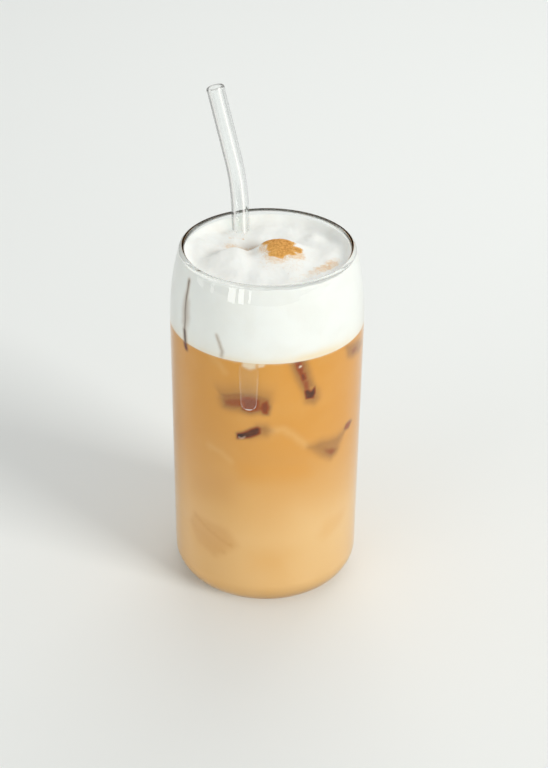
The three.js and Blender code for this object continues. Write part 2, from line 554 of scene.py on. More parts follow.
@dataclass(frozen=True)
class FoamFinish:
    """Fine milk foam: bright and matt, cream where coffee has soaked up, and stained where powder lies."""

    clouds: bpy.types.NodeTree
    white: Rgb = from_srgb(242, 243, 238)
    shade: Rgb = from_srgb(235, 234, 227)
    cream: Rgb = from_srgb(240, 224, 194)
    stain: Rgb = from_srgb(241, 194, 108)
    stain_dark: Rgb = from_srgb(216, 158, 84)
    streak_and_shade: Rgb = from_srgb(178, 156, 134)
    streak_dark: Rgb = from_srgb(72, 48, 38)
    shade_share: float = 0.5
    streak_reach: float = 1.1
    patch_scale: float = 1800.0
    patch_part: float = 0.85
    speck_scale: float = 5200.0
    speck_part: float = 0.55
    dust_part: float = 1.15
    dust_reach: float = 5.0
    clean_below: float = 0.7
    stain_edge: Span = (0.12, 0.75)
    bubble_scale: float = 2100.0
    bubble_part: float = 0.35
    pit_scale: float = 520.0
    pit_part: float = 0.65
    relief: float = 0.25
    relief_strength: float = 0.35

    def stain_cover(self, graph: Graph, place: Socket, patch: Socket) -> Socket:
        """How far the fine dust covers the foam, in specks and patches.

        Args:
            graph: the material's graph.
            place: the point on the foam.
            patch: the noise of the larger patches.

        Returns:
            A mask from 0 to 1.
        """
        dust = graph.attribute("dust")
        speck = graph.noise(place, self.speck_scale, 1.0).outputs[0]
        level = graph.math("ADD", graph.times(patch, self.patch_part), graph.times(speck, self.speck_part))
        level = graph.math("SUBTRACT", level, self.clean_below)
        level = graph.math("ADD", graph.times(dust, self.dust_part), level)
        return graph.times(graph.spread(level, *self.stain_edge), graph.times(dust, self.dust_reach, clamp=True))

    def froth(self, graph: Graph, place: Socket) -> Socket:
        """The relief of fine bubbles.

        Args:
            graph: the material's graph.
            place: the point on the foam.

        Returns:
            The bumped normal.
        """
        cells = {"Vector": place, "Scale": self.bubble_scale}
        bubbles = graph.add("ShaderNodeTexVoronoi", cells, feature="SMOOTH_F1").outputs["Distance"]
        pits = graph.noise(place, self.pit_scale, 3.0).outputs[0]
        height = graph.math("ADD", graph.times(bubbles, self.bubble_part), graph.times(pits, self.pit_part))
        bump = {"Height": height, "Strength": self.relief_strength, "Distance": self.relief * MM}
        return graph.add("ShaderNodeBump", bump).outputs[0]

    def build(self) -> Material:
        """Makes the material.

        Returns:
            The material.
        """
        material, graph = new_material("milk_foam")
        place = graph.place()
        drift = {"Vector": place, "Size": 0.012, "Drift": 1.0, "Low": 0.4, "High": 0.75}
        cloud = graph.add("ShaderNodeGroup", drift, node_tree=self.clouds).outputs[0]
        base = graph.mix(graph.times(cloud, self.shade_share), self.white, self.shade)
        base = graph.mix(graph.attribute("cream"), base, self.cream)
        patch = graph.noise(place, self.patch_scale, 3.0).outputs[0]
        stain = graph.mix(patch, self.stain, self.stain_dark)
        base = graph.mix(self.stain_cover(graph, place, patch), base, stain)
        # On the top the touch value is painted shade in the hollows, in the streak colour; on the glass it marks the
        # streaks.
        touch = graph.attribute("ice_touch")
        streak_and_shade = graph.ramp(touch, ((0.0, self.streak_and_shade), (0.5, self.streak_and_shade), (1.0, self.streak_dark)))
        base = graph.mix(graph.times(touch, self.streak_reach, clamp=True), base, streak_and_shade)
        surface = {
            "Base Color": base,
            "Roughness": 0.7,
            "Specular IOR Level": 0.25,
            "Subsurface Weight": 0.15,
            "Subsurface Radius": (0.0015, 0.0013, 0.0011),
            "Subsurface Scale": 1.0,
            "Normal": self.froth(graph, place),
        }
        graph.show(graph.principled(surface))
        return material


@dataclass(frozen=True)
class GrainFinish:
    """Dry ground spice, from tan to brown grain by grain."""

    light: Rgb = from_srgb(244, 194, 116)
    dark: Rgb = from_srgb(182, 114, 48)

    def build(self) -> Material:
        """Makes the material.

        Returns:
            The material.
        """
        material, graph = new_material("ground_spice")
        tone = graph.spread(graph.noise(graph.place(), 1150.0, 2.0).outputs[0], 0.35, 0.65, "LINEAR")
        colour = graph.mix(tone, self.light, self.dark)
        graph.show(graph.principled({"Base Color": colour, "Roughness": 0.9, "Specular IOR Level": 0.2}))
        return material


@dataclass(frozen=True)
class StageFinish:
    """A plain matt surface of the set."""

    name: str
    colour: Rgb

    def build(self) -> Material:
        """Makes the material.

        Returns:
            The material.
        """
        material, graph = new_material(self.name)
        graph.show(graph.principled({"Base Color": self.colour, "Roughness": 0.85, "Specular IOR Level": 0.2}))
        return material


@dataclass(frozen=True)
class GlowFinish:
    """An evenly bright surface of the set."""

    name: str
    strength: float
    colour: Rgb = (1.0, 1.0, 0.99)

    def build(self) -> Material:
        """Makes the material.

        Returns:
            The material.
        """
        material, graph = new_material(self.name)
        graph.show(graph.add("ShaderNodeEmission", {"Color": self.colour, "Strength": self.strength}).outputs[0])
        return material


# The pieces of the drink


@dataclass
class Tumbler:
    """The thin-walled tumbler: flat base, rounded heel, straight body, and a shoulder that curves in to the rim.

    The rim's painted dark lines, painted shade for the dark surroundings that the lip shows, are given by angles
    round the lip's section, as a middle and a width, and the spans are where they fade in from front to back.
    """

    body_radius: float = 38.0
    height: float = 147.0
    rim_radius: float = 33.6
    wall: float = 2.2
    floor: float = 3.4
    heel_radius: float = 10.0
    shoulder_start: float = 110.0
    shoulder_power: float = 2.8
    base_rings: tuple[float, ...] = (0.0, 14.0, 27.0)
    floor_rings: tuple[float, ...] = (14.0, 0.0)
    above_heel: float = 6.0
    below_shoulder: float = 2.0
    heel_steps: int = 16
    body_rows: int = 12
    shoulder_rows: int = 28
    inner_heel_steps: int = 14
    lip_steps: int = 24
    around: int = 200
    back_line: Span = (104, 52)
    outer_line: Span = (20, 20)
    inner_line: Span = (138, 28)
    between_lines: float = 0.25
    back_fade: Span = (2, 20)
    side_fade: Span = (-18, 2)
    side_part: Span = (0.7, 0.93)
    below_lip: float = 0.7

    @property
    def lip_radius(self) -> float:
        """Radius of the rounded lip."""
        return self.wall / 2

    @property
    def lip_base(self) -> float:
        """Height at which the lip's rounding starts."""
        return self.height - self.lip_radius

    @property
    def inner_heel(self) -> float:
        """Radius of the rounded corner between the floor and the wall."""
        return self.heel_radius - self.wall

    def outer_radius(self, z: np.ndarray | float) -> np.ndarray:
        """The outside's radius above the heel.

        Args:
            z: one height or an array of them.

        Returns:
            The radius at each height.
        """
        rise = np.maximum(0, np.asarray(z, float) - self.shoulder_start) / (self.height - self.shoulder_start)
        return self.body_radius - (self.body_radius - self.rim_radius) * rise**self.shoulder_power

    def wall_line(self, inset: float, low: float, high: float, steps: int) -> np.ndarray:
        """Points up the wall, at a distance inside its outer face.

        Args:
            inset: the distance inside the outer face.
            low: the first point's height.
            high: the last point's height.
            steps: how many points there are.

        Returns:
            An array of radius and height pairs.
        """
        heights = np.linspace(low, high, steps)
        return np.column_stack((self.outer_radius(heights) - inset, heights))

    def inner_corner(self, reach: float, steps: int) -> np.ndarray:
        """The corner between floor and wall.

        Args:
            reach: how far the corner is moved into the glass.
            steps: how many chords it is cut into.

        Returns:
            Radius and height pairs, from the floor up.
        """
        centre = (self.body_radius - self.wall - self.inner_heel, self.floor + self.inner_heel)
        return arc(centre, self.inner_heel + reach, -90, 0, steps)

    def build(self, material: Material) -> Piece:
        """Makes the tumbler.

        Args:
            material: its glass.

        Returns:
            The tumbler.
        """
        heel_centre = (self.body_radius - self.heel_radius, self.heel_radius)
        lip_centre = (float(self.outer_radius(self.lip_base)) - self.lip_radius, self.lip_base)
        body_top = self.shoulder_start - self.below_shoulder
        inner_low = self.floor + self.inner_heel + self.above_heel
        profile = np.vstack(
            (
                [(ring, 0.0) for ring in self.base_rings],
                arc(heel_centre, self.heel_radius, -90, 0, self.heel_steps),
                self.wall_line(0, self.heel_radius + self.above_heel, body_top, self.body_rows),
                self.wall_line(0, self.shoulder_start, self.lip_base, self.shoulder_rows),
                arc(lip_centre, self.lip_radius, 0, 180, self.lip_steps)[1:-1],
                self.wall_line(self.wall, self.shoulder_start, self.lip_base, self.shoulder_rows)[::-1],
                self.wall_line(self.wall, inner_low, body_top, self.body_rows)[::-1],
                self.inner_corner(0, self.inner_heel_steps)[::-1],
                [(ring, self.floor) for ring in self.floor_rings],
            )
        )
        shape = turned(profile, self.around)
        # Painted shade: dark lines round the lip.
        shape.values["dark"] = self.painted_rim_shade(shape.points, lip_centre)
        return shape.to_object("tumbler_glass", material)

    def painted_rim_shade(self, points: np.ndarray, lip_centre: Span) -> np.ndarray:
        """Painted shade lines on the rim: one line at the back, and two at either side.

        Args:
            points: the tumbler's points.
            lip_centre: the middle of the lip's section, as radius and height.

        Returns:
            One value from 0 to 1 for each point.
        """
        x, y, z = points.T
        turn = np.degrees(np.arctan2(z - lip_centre[1], np.hypot(x, y) - lip_centre[0]))
        on_lip = (z > lip_centre[1] - self.below_lip) & (turn > 0)
        back = smooth_step(*self.back_fade, y)
        side = smooth_step(*self.side_part, np.abs(x) / self.rim_radius) * smooth_step(*self.side_fade, y)
        one = bell(turn, *self.back_line, 6)
        two = np.maximum(bell(turn, *self.outer_line, 4), bell(turn, *self.inner_line, 4))
        return np.where(on_lip, np.maximum(back * one, side * np.maximum(two, self.between_lines)), 0)


@dataclass(frozen=True)
class WallPatch:
    """A soft patch on the drink's wall, such as the place where a cube shows through the milk.

    The outline's points are the way round the wall from the front, to the right, and the height. A patch with a
    width is a line of that half width, and the others are filled. The depth is the patch's strength, and the softness
    is half the distance over which its edge fades, which can be more above it. The fade out is how much further it
    fades outside the outline than inside.
    """

    outline: tuple[tuple[float, float], ...]
    depth: float
    soft: float
    soft_above: float = 0.0
    width: float = 0.0
    fade_out: float = 1.5

    def shade(self, places: np.ndarray) -> np.ndarray:
        """How strong the patch is at each place on the wall.

        Args:
            places: the way round the wall and the height of each place.

        Returns:
            One value from 0 to 1 for each place.
        """
        corners = np.array(self.outline, float)
        ends = corners[1:] if self.width else np.roll(corners, -1, axis=0)
        nearest = np.full(len(places), np.inf)
        rise = np.zeros(len(places))
        inside = np.zeros(len(places), bool)
        for start, end in zip(corners, ends):
            side = end - start
            along = np.clip((places - start) @ side / max(float(side @ side), SIZE_OF_NOTHING), 0, 1)
            away = places - (start + along[:, None] * side)
            distance = np.hypot(away[:, 0], away[:, 1])
            rise = np.where(distance < nearest, away[:, 1] / np.maximum(distance, 1e-6), rise)
            nearest = np.minimum(nearest, distance)
            if not self.width:
                crosses = (start[1] > places[:, 1]) != (end[1] > places[:, 1])
                at = start[0] + (places[:, 1] - start[1]) / (side[1] or SIZE_OF_NOTHING) * side[0]
                inside ^= crosses & (places[:, 0] < at)
        beyond = np.where(inside, -nearest, nearest - self.width)
        soft = self.soft + max(0.0, self.soft_above - self.soft) * np.clip(rise, 0, 1)
        return self.depth * (1 - smooth_step(-soft, self.fade_out * soft, beyond))


def strongest(patches: Iterable[WallPatch], points: np.ndarray, ripple: np.ndarray) -> np.ndarray:
    """The strongest of some patches at each of a drink's points.

    Args:
        patches: the patches.
        points: the points.
        ripple: how far each point's place on the wall is moved, which makes the patches' edges uneven.

    Returns:
        One value from 0 to 1 for each point.
    """
    places = round_and_up(points) + ripple[:, None]
    return np.max([patch.shade(places) for patch in patches], axis=0)


def round_and_up(points: np.ndarray) -> np.ndarray:
    """The way round the wall from the front, to the right, and the height, of each point."""
    return np.column_stack((DRINK_RADIUS * np.arctan2(points[:, 0], -points[:, 1]), points[:, 2]))


@dataclass
class Coffee:
    """The milk coffee, as one body that reaches just into the wall, with what shows through it as values.

    Its rows are closer together above the height where they meet, because the ice shows there.
    """

    tumbler: Tumbler
    patches: dict[str, tuple[WallPatch, ...]]
    top: float = 116.15
    reach: float = 0.1
    corner: float = 0.05
    around: int = 420
    heel_steps: int = 16
    rows_low: int = 50
    rows_high: int = 120
    rows_meet: float = 64.0
    wall_from: float = 30.0
    ripple: tuple[tuple[float, float, float], ...] = ((0.3, 5.0, 2.0), (0.2, 2.2, 3.0))

    def build(self, material: Material) -> Piece:
        """Makes the coffee.

        Args:
            material: its finish.

        Returns:
            The coffee.
        """
        low = self.tumbler.floor - self.reach
        inner_low = self.tumbler.floor + self.tumbler.inner_heel
        inset = self.tumbler.wall - self.reach
        edge = float(self.tumbler.outer_radius(self.top)) - inset
        profile = np.vstack(
            (
                [(0.0, low), (12.0, low)],
                self.tumbler.inner_corner(self.reach, self.heel_steps),
                self.tumbler.wall_line(inset, inner_low + 0.6, self.rows_meet - 0.4, self.rows_low),
                self.tumbler.wall_line(inset, self.rows_meet, self.top - self.corner, self.rows_high),
                [(radius, self.top) for radius in (edge, edge - self.corner, 24.0, 12.0, 0.0)],
            )
        )
        shape = turned(profile, self.around)
        at_wall = np.hypot(shape.points[:, 0], shape.points[:, 1]) > self.wall_from
        ripple = added_noise(shape.points, self.ripple)
        for name, patches in self.patches.items():
            shape.values[name] = np.where(at_wall, strongest(patches, shape.points, ripple), 0)
        return shape.to_object("coffee_fill", material)


@dataclass(frozen=True)
class Lump:
    """A rise or a hollow in the foam, with its own reach to each side."""

    x: float
    y: float
    rise: float
    across: float
    front: float
    back: float
    turn: float = 0.0

    def height(self, x: np.ndarray, y: np.ndarray) -> np.ndarray:
        """How far the lump lifts the foam.

        Args:
            x: the places' x.
            y: the places' y.

        Returns:
            The rise at each place.
        """
        c, s = math.cos(self.turn), math.sin(self.turn)
        along = (x - self.x) * c + (y - self.y) * s
        behind = (y - self.y) * c - (x - self.x) * s
        reach = np.where(behind > 0, self.back, self.front)
        return self.rise * np.exp(-((along / self.across) ** 2) - (behind / reach) ** 2)


@dataclass(frozen=True)
class Patch:
    """A soft round patch on the foam's top, by its middle, its reach along x and y, and its strength."""

    x: float
    y: float
    across: float
    along: float
    strength: float


@dataclass
class Foam:
    """The foam layer: an uneven top, and a skin that reaches just into the wall.

    The noises are a strength, a wavelength and a seed. The soaked spans are how strongly and how far up the coffee
    has coloured the foam, and the blush is one more such place, on the front right.
    """

    tumbler: Tumbler
    streaks: tuple[WallPatch, ...]
    bottom: float = 116.15
    level: float = 141.6
    reach: float = 0.1
    around: int = 360
    rings: int = 104
    rows: int = 60
    corner: float = 0.05
    foot_radius: float = 35.0
    foot_parts: tuple[float, ...] = (0.6, 0.25)
    edge_rounds: int = 4
    lumps: tuple[Lump, ...] = (
        Lump(5.5, 5.5, 5.2, 9.5, 15, 4.2, -0.12),
        Lump(-13.5, -0.3, 4.1, 8.5, 11, 3.0, 0.28),
        Lump(-0.4, 5.6, 1.0, 3.4, 4.5, 3.0),
        Lump(-28, 9, 2.2, 9, 9, 10),
        Lump(25, 3, 1.1, 8, 8, 7),
        Lump(17.7, 17.5, 0.8, 2.6, 2.6, 2.2, 0.3),
        Lump(-6.5, 8.5, -2.4, 6, 3.4, 5, 0.2),
        Lump(-6.8, 0.5, -1.4, 3.0, 5.0, 3.5),
        Lump(-19, 23.5, -0.9, 2.8, 2.4, 2.4),
    )
    ripple_rise: float = 0.28
    ripple_length: float = 13.0
    wall_climb: float = 3.6
    wall_climb_width: float = 2.6
    wall_ripple: float = 0.6
    ring_crowding: float = 0.35
    ripple_skew: Span = (0.4, 0.3)
    ripple_stretch: float = 1.3
    fine: tuple[tuple[float, float, float], ...] = ((0.22, 5.5, 4.0), (0.1, 1.9, 5.0))
    fine_lost_at_wall: float = 0.7
    ragged: tuple[tuple[float, float, float], ...] = ((0.26, 3.2, 7.0), (0.16, 1.2, 8.0))
    dust_edge: Span = (0.55, 1.35)
    dust_raggedness: Span = (0.4, 0.6)
    wall_noise: tuple[tuple[float, float, float], ...] = ((0.3, 4.0, 6.0),)
    soaked: tuple[Span, ...] = ((0.5, 1.4), (0.3, 5.0))
    soaked_share: float = 0.75
    blush_strength: float = 0.75
    blush_ripple: float = 1.5
    blush_middle: Span = (20.0, 1.2)
    blush_reach: Span = (11.0, 2.0)
    # Painted shade in the hollows behind the mounds, as soft round patches.
    hollows: tuple[Patch, ...] = (
        Patch(-6.6, 10.8, 4.2, 4.2, 0.36),
        Patch(-13.0, 9.5, 5.0, 3.6, 0.24),
        Patch(-6.8, 0.0, 2.4, 4.0, 0.26),
        Patch(-20.0, 3.0, 5.0, 3.6, 0.14),
        Patch(-19.0, 22.5, 3.0, 2.6, 0.14),
    )
    dustings: tuple[Patch, ...] = (
        Patch(0.9, 4.8, 2.8, 2.7, 1.0),
        Patch(2.3, 0.8, 2.7, 3.6, 1.0),
        Patch(5.6, 3.5, 4.6, 3.4, 1.0),
        Patch(6.2, -0.5, 4.5, 3.8, 1.0),
        Patch(10.8, 0.8, 2.8, 2.2, 0.85),
        Patch(4.0, -3.0, 3.8, 2.6, 0.85),
        Patch(3.5, -4.0, 6.2, 5.2, 0.32),
        Patch(10.0, -2.0, 4.8, 4.0, 0.38),
        Patch(0.0, 1.0, 4.2, 4.2, 0.34),
        Patch(1.0, -8.0, 6.0, 6.0, 0.14),
        Patch(8.5, -8.5, 6.5, 6.0, 0.15),
        Patch(26.2, -2.8, 2.0, 2.4, 0.22),
        Patch(24.4, -5.4, 3.0, 2.8, 0.33),
        Patch(22.2, -7.8, 3.0, 2.6, 0.37),
        Patch(20.0, -9.9, 3.0, 2.4, 0.34),
        Patch(17.6, -12.2, 3.0, 2.2, 0.25),
        Patch(15.0, -14.6, 3.2, 2.0, 0.18),
        Patch(10.7, -17.7, 3.0, 2.0, 0.13),
        # These patches in the hollow behind the mounds are partly real dust and partly painted shade of that hollow.
        Patch(-7.5, 7.5, 5.5, 3.4, 0.31),
        Patch(-11.0, 8.5, 7.0, 3.4, 0.26),
        Patch(-4.0, 9.5, 4.5, 3.2, 0.3),
        Patch(-12.0, 19.0, 6.0, 5.0, 0.12),
        Patch(-9.7, 16.5, 0.6, 0.6, 0.4),
        Patch(-14.8, 16.6, 0.6, 0.6, 0.35),
    )

    @property
    def inset(self) -> float:
        """How far the foam's skin lies inside the tumbler's outer face."""
        return self.tumbler.wall - self.reach

    def top_height(self, x: np.ndarray, y: np.ndarray) -> np.ndarray:
        """Height of the foam's top, which climbs where it meets the glass.

        Args:
            x: the places' x.
            y: the places' y.

        Returns:
            The height at each place.
        """
        ripple = np.sin(2 * np.pi * (x + self.ripple_skew[0] * y) / self.ripple_length)
        crossing = 2 * np.pi * (y - self.ripple_skew[1] * x) / (self.ripple_stretch * self.ripple_length)
        ripple = ripple * np.cos(crossing)
        to_wall = float(self.tumbler.outer_radius(self.level)) - self.tumbler.wall - np.hypot(x, y)
        clinging = bell(np.maximum(0, to_wall), 0, self.wall_climb_width)
        fine = added_noise(on_floor(x, y), self.fine) * (1 - self.fine_lost_at_wall * clinging)
        open_top = sum(lump.height(x, y) for lump in self.lumps) + self.ripple_rise * ripple
        at_wall = self.wall_climb + self.wall_ripple * self.ripple_rise * ripple
        return self.level + open_top + (at_wall - open_top) * clinging + fine

    def painted_hollow_shade(self, x: np.ndarray, y: np.ndarray) -> np.ndarray:
        """Painted shade in the foam's hollows behind its mounds: how strongly it darkens the foam there.

        Args:
            x: the places' x.
            y: the places' y.

        Returns:
            One value from 0 to 1 for each place.
        """
        shades = [p.strength * bell(x, p.x, p.across) * bell(y, p.y, p.along) for p in self.hollows]
        return np.max(shades, axis=0)

    def dust(self, x: np.ndarray, y: np.ndarray) -> np.ndarray:
        """How thickly powder lies on the foam, which in the hollow behind the mounds is partly painted shade.

        Args:
            x: the places' x.
            y: the places' y.

        Returns:
            One value from 0 to 1 for each place.
        """
        ragged = added_noise(on_floor(x, y), self.ragged)
        amount = np.zeros_like(x)
        for patch in self.dustings:
            away = np.hypot((x - patch.x) / patch.across, (y - patch.y) / patch.along)
            away = away + (self.dust_raggedness[0] + self.dust_raggedness[1] * patch.strength) * ragged
            amount = np.maximum(amount, patch.strength * (1 - smooth_step(*self.dust_edge, away)))
        return amount

    def rings_down(self) -> list[np.ndarray]:
        """The foam's rings of points, from the middle of its top out to the glass, down it, and in below.

        Returns:
            The points of each ring.
        """
        angles = np.linspace(0, 2 * np.pi, self.around, endpoint=False)
        edge = np.full(self.around, self.tumbler.rim_radius - self.inset)
        for _ in range(self.edge_rounds):
            edge_height = self.top_height(edge * np.cos(angles), edge * np.sin(angles))
            edge = self.tumbler.outer_radius(edge_height) - self.inset
        outward = [ring / (self.rings - 1) for ring in range(1, self.rings - 1)]
        radii = [edge * out * (1 + self.ring_crowding * (1 - out)) for out in outward]
        rings = []
        for radius in (*radii, edge - self.corner, edge):
            x, y = radius * np.cos(angles), radius * np.sin(angles)
            rings.append(np.column_stack((x, y, self.top_height(x, y))))
        edge_height = rings[-1][:, 2]
        depth = edge_height - self.bottom
        parts = np.linspace(0, 1, self.rows - 1)[1:-1]
        for drop in (depth * 0 + self.corner, *(depth * part for part in parts), depth - self.corner, depth):
            z = edge_height - drop
            radius = self.tumbler.outer_radius(z) - self.inset
            rings.append(np.column_stack((radius * np.cos(angles), radius * np.sin(angles), z)))
        foot = rings[-1]
        parts = (1 - self.corner / self.foot_radius, *self.foot_parts)
        return rings + [foot * np.array((part, part, 1.0)) for part in parts]

    def skin(self, ring_count: int) -> list[tuple[int, ...]]:
        """The faces between the rings, with a point in the middle of the top and of the bottom.

        Args:
            ring_count: how many rings there are.

        Returns:
            Each face's points.
        """
        faces: list[tuple[int, ...]] = []
        last = 1 + (ring_count - 1) * self.around
        for i in range(self.around):
            j = (i + 1) % self.around
            faces += [(0, 1 + i, 1 + j), (last + self.around, last + j, last + i)]
            for a in range(1, last, self.around):
                b = a + self.around
                faces.append((a + i, b + i, b + j, a + j))
        return faces

    def build(self, material: Material) -> Piece:
        """Makes the foam.

        Args:
            material: its finish.

        Returns:
            The foam, with where it is dusted, dark and cream as values.
        """
        rings = self.rings_down()
        centre = (0.0, 0.0, self.top_height(np.zeros(1), np.zeros(1))[0])
        points = np.vstack(([centre], *rings, [(0.0, 0.0, self.bottom)]))
        shape = Shape(points, self.skin(len(rings)))
        on_top = np.arange(len(points)) < 1 + self.rings * self.around
        dust = np.zeros(len(points))
        dust[on_top] = self.dust(points[on_top, 0], points[on_top, 1])
        ripple = added_noise(points, self.wall_noise)
        streaks = strongest(self.streaks, points, ripple)
        above = points[:, 2] - self.bottom
        soaked = sum(strength * bell(above, 0, reach) for strength, reach in self.soaked)
        blush = bell(round_and_up(points)[:, 0], self.blush_middle[0], self.blush_reach[0])
        blush = blush * bell(above - self.blush_ripple * ripple, self.blush_middle[1], self.blush_reach[1])
        cream = np.clip(soaked * (self.soaked_share + ripple) + self.blush_strength * blush, 0, 1)
        shape.values["dust"] = dust
        # On the top this holds painted shade in the hollows, and on the wall the streaks.
        shape.values["ice_touch"] = np.where(on_top, self.painted_hollow_shade(points[:, 0], points[:, 1]), streaks)
        shape.values["cream"] = np.where(on_top, 0, cream)
        return shape.to_object("foam_blanket", material)


@dataclass
class Straw:
    """The clear glass straw, from its foot on the tumbler's floor over the rim to its mouthpiece.

    Its bright bands, painted reflections of windows, are a strength, a place across the tube in radii and a width.
    Its side lines, painted shade, are a strength and the radii between which they fade in.
    """

    floor: float
    radius: float = 3.5
    bore: float = 2.5
    lean: float = 0.27
    sway: float = -0.033
    rest: Place = (-10.9, 25.5, 146.0)
    corner_height: float = 159.5
    top: Place = (-20.6, 31.6, 198.3)
    bend_reach: float = 10.5
    foot_gap: float = 0.3
    sides: int = 96
    steps: tuple[int, int, int] = (40, 60, 12)
    rows: int = 190
    lip_steps: int = 8
    bright_bands: tuple[tuple[float, float, float], ...] = ((0.8, -0.6, 0.13), (0.7, 0.45, 0.12))
    left_line: tuple[float, float, float] = (0.75, 0.93, 0.99)
    right_line: tuple[float, float, float] = (0.25, 0.96, 1.0)
    # The mouth's pale ring is a painted highlight and its dark ring painted shade.
    mouth_part: float = 0.9
    mouth_painted_highlight: float = 0.3
    mouth_dark: float = 0.5

    def at(self, z: float) -> Vector:
        """The straight lower stretch's centre at a height."""
        up = z - self.rest[2]
        return Vector((self.rest[0] + self.sway * up, self.rest[1] + self.lean * up, z))

    def path(self) -> list[Vector]:
        """The centre line, with one soft bend above the rim.

        Returns:
            Its points, from the foot up.
        """
        corner, top = self.at(self.corner_height), Vector(self.top)
        rise = (corner - self.at(0)).normalized()
        mouth = (top - corner).normalized()
        foot = self.at(self.floor + self.foot_gap + self.radius * math.hypot(rise.x, rise.y))
        start, end = corner - rise * self.bend_reach, corner + mouth * self.bend_reach
        lower, bend, upper = self.steps
        line = [foot + (start - foot) * (i / lower) for i in range(lower)]
        for i in range(bend + 1):
            t = i / bend
            line.append(start * (1 - t) ** 2 + corner * 2 * t * (1 - t) + end * t**2)
        return line + [end + (top - end) * (i / upper) for i in range(1, upper + 1)]

    def tube(self, length: float, material: Material) -> Piece:
        """The straight tube before it is bent, with rounded ends.

        Args:
            length: how long the tube is.
            material: its finish.

        Returns:
            The tube, standing on the origin.
        """
        lip = (self.radius - self.bore) / 2
        middle = (self.radius + self.bore) / 2
        up = np.linspace(lip, length - lip, self.rows)
        profile = np.vstack(
            (
                np.column_stack((np.full(len(up), self.radius), up)),
                arc((middle, length - lip), lip, 0, 180, self.lip_steps)[1:-1],
                np.column_stack((np.full(len(up), self.bore), up[::-1])),
                arc((middle, lip), lip, 180, 360, self.lip_steps)[1:-1],
            )
        )
        shape = turned(profile, self.sides)
        shape.values["mouth"] = 1.0 * (shape.points[:, 2] > length - self.mouth_part * lip)
        return shape.to_object("straw_tube", material)

    def bending_tree(self) -> bpy.types.NodeTree:
        """Geometry nodes that lay a tube along a path.

        Returns:
            The tree.
        """
        inputs = [("Tube", "Geometry"), ("Path", "Object"), ("Finish", "Material")]
        graph, entry, leave = new_group("bend_along_path", "GeometryNodeTree", inputs, ("Tube", "Geometry"))
        path = graph.add("GeometryNodeObjectInfo", {"Object": entry.outputs["Path"]})
        position = graph.add("GeometryNodeInputPosition").outputs[0]
        place = graph.add("ShaderNodeSeparateXYZ", {0: position}).outputs
        along = {"Curves": path.outputs["Geometry"], "Length": place["Z"]}
        sample = graph.add("GeometryNodeSampleCurve", along, mode="LENGTH", use_all_curves=True).outputs
        side = graph.vector("CROSS_PRODUCT", sample["Tangent"], sample["Normal"])
        across = graph.vector("SCALE", sample["Normal"], place["X"])
        offset = graph.vector("ADD", across, graph.vector("SCALE", side, place["Y"]))
        target = {"Geometry": entry.outputs["Tube"], "Position": graph.vector("ADD", sample["Position"], offset)}
        moved = graph.add("GeometryNodeSetPosition", target).outputs[0]
        graph.put_out(moved, entry.outputs["Finish"], leave)
        return graph.tree

    def build(self, material: Material) -> Piece:
        """Makes the straw.

        Args:
            material: its glass.

        Returns:
            The straw.
        """
        line = self.path()
        curve = bpy.data.curves.new("straw_path", "CURVE")
        curve.dimensions = "3D"
        spline = curve.splines.new("POLY")
        spline.points.add(len(line) - 1)
        for point, place in zip(spline.points, line):
            point.co = (*(place * MM), 1.0)
        route = linked("straw_path", curve)
        length = sum((b - a).length for a, b in zip(line, line[1:]))
        piece = apply_tree(self.tube(length, material), self.bending_tree(), {"Path": route, "Finish": material})
        bpy.data.objects.remove(route)
        self.paint_side_shade_and_highlights(piece.data, np.array(line))
        return piece

    def paint_side_shade_and_highlights(self, mesh: bpy.types.Mesh, line: np.ndarray) -> None:
        """Gives the tube painted shade as dark side lines, and painted window reflections as soft bands on its front.

        Args:
            mesh: the bent tube.
            line: its centre line's points.
        """
        points = np.empty(len(mesh.vertices) * 3)
        mesh.vertices.foreach_get("co", points)
        x, y, z = points.reshape(-1, 3).T / MM
        mouth = np.empty(len(x), np.float32)
        mesh.attributes["mouth"].data.foreach_get("value", mouth)
        centre_x, centre_y = (np.interp(z, line[:, 2], line[:, axis]) for axis in (0, 1))
        across = (x - centre_x) / self.radius
        outside = np.hypot(x - centre_x, y - centre_y) > (self.bore + self.radius) / 2
        # Painted highlights: bright bands of window light on the tube's front.
        bands = np.max([strength * bell(across, at, width) for strength, at, width in self.bright_bands], axis=0)
        frost = np.where(outside & (y < centre_y), bands, 0) + self.mouth_painted_highlight * mouth
        # Painted shade: dark lines along the tube's sides and round its mouth.
        dark = 0.0
        for (strength, low, high), way in ((self.left_line, -across), (self.right_line, across)):
            dark = dark + strength * smooth_step(low, high, way)
        dark = np.maximum(np.where(outside, dark, 0), self.mouth_dark * mouth)
        keep_values(mesh, {"frost": np.clip(frost, 0, 1), "dark": np.clip(dark, 0, 1)})


def apply_tree(piece: Piece, tree: bpy.types.NodeTree, values: dict[str, Any]) -> Piece:
    """Runs a geometry tree on a piece and keeps its result as the piece's plain mesh.

    Args:
        piece: the object that the tree starts from.
        tree: the geometry tree.
        values: the tree's inputs by name.

    Returns:
        The piece, with the result as its mesh and no modifier.
    """
    modifier = piece.modifiers.new(tree.name, "NODES")
    modifier.node_group = tree
    for item in tree.interface.items_tree:
        if item.item_type == "SOCKET" and item.in_out == "INPUT" and item.name in values:
            modifier[item.identifier] = values[item.name]
    bpy.context.view_layer.update()
    result = bpy.data.meshes.new_from_object(piece.evaluated_get(bpy.context.evaluated_depsgraph_get()))
    piece.modifiers.remove(modifier)
    old = piece.data
    piece.data = result
    bpy.data.meshes.remove(old)
    result.name = piece.name
    return piece


